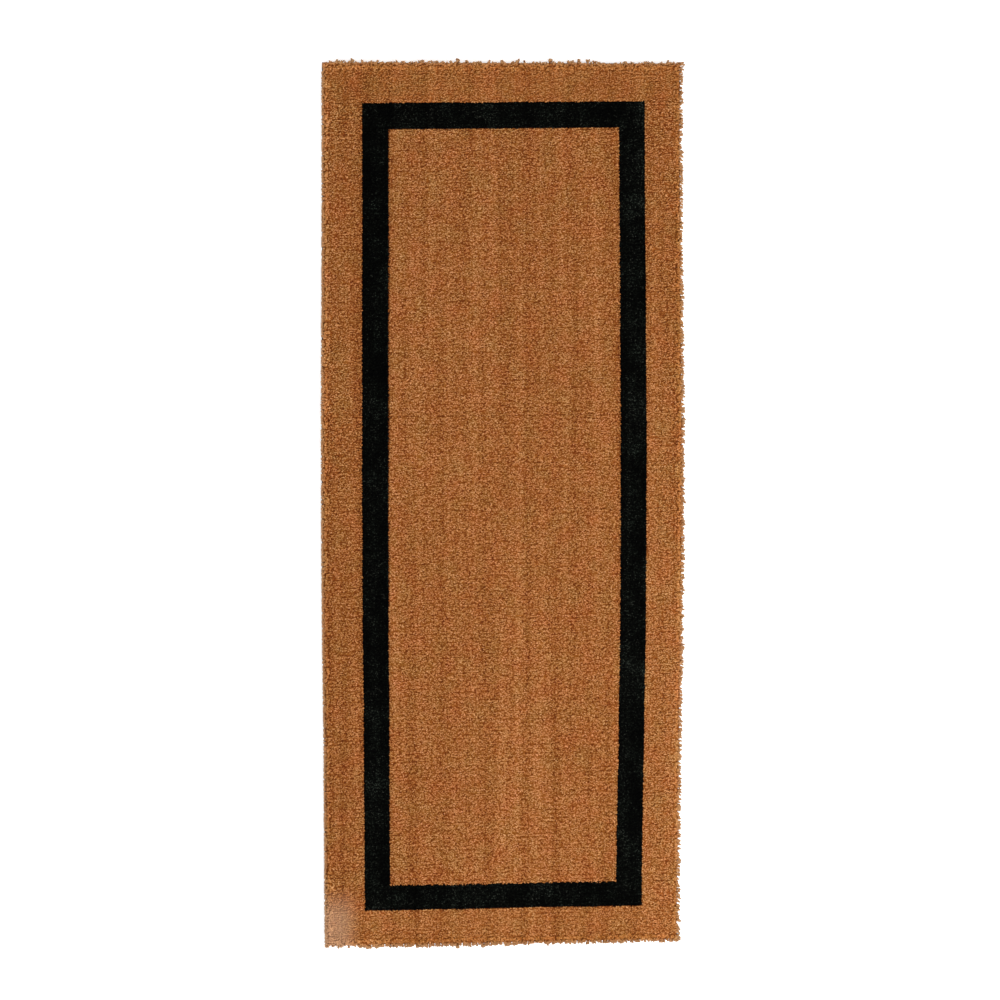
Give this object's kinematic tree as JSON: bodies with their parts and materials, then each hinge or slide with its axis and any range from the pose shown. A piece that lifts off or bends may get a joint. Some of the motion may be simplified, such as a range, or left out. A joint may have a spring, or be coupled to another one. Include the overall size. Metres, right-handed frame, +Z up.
{
  "type": "door mat",
  "caption": "Long low rectangular door mat: coir pile standing in a flexible vinyl backing, with a black rectangular border set in from the edges.",
  "frame": {"origin": "centre of the mat's underside", "axes": "+X across the mat, +Y along it towards the far end, +Z up out of the pile"},
  "size_m": [0.61, 1.524, 0.017],
  "materials": {
    "vinyl_backing": "matt, fine pebbled underside",
    "natural_coir": "shorn coconut fibre pile, natural brown",
    "black_coir": "shorn coconut fibre pile, dyed black"
  },
  "bodies": {
    "root": {"backing_sheet": "vinyl_backing", "margin_pile_far": "natural_coir", "margin_pile_near": "natural_coir", "margin_pile_left": "natural_coir", "margin_pile_right": "natural_coir", "border_pile_far": "black_coir", "border_pile_near": "black_coir", "border_pile_left": "black_coir", "border_pile_right": "black_coir", "field_pile": "natural_coir"}
  },
  "joints": []
}
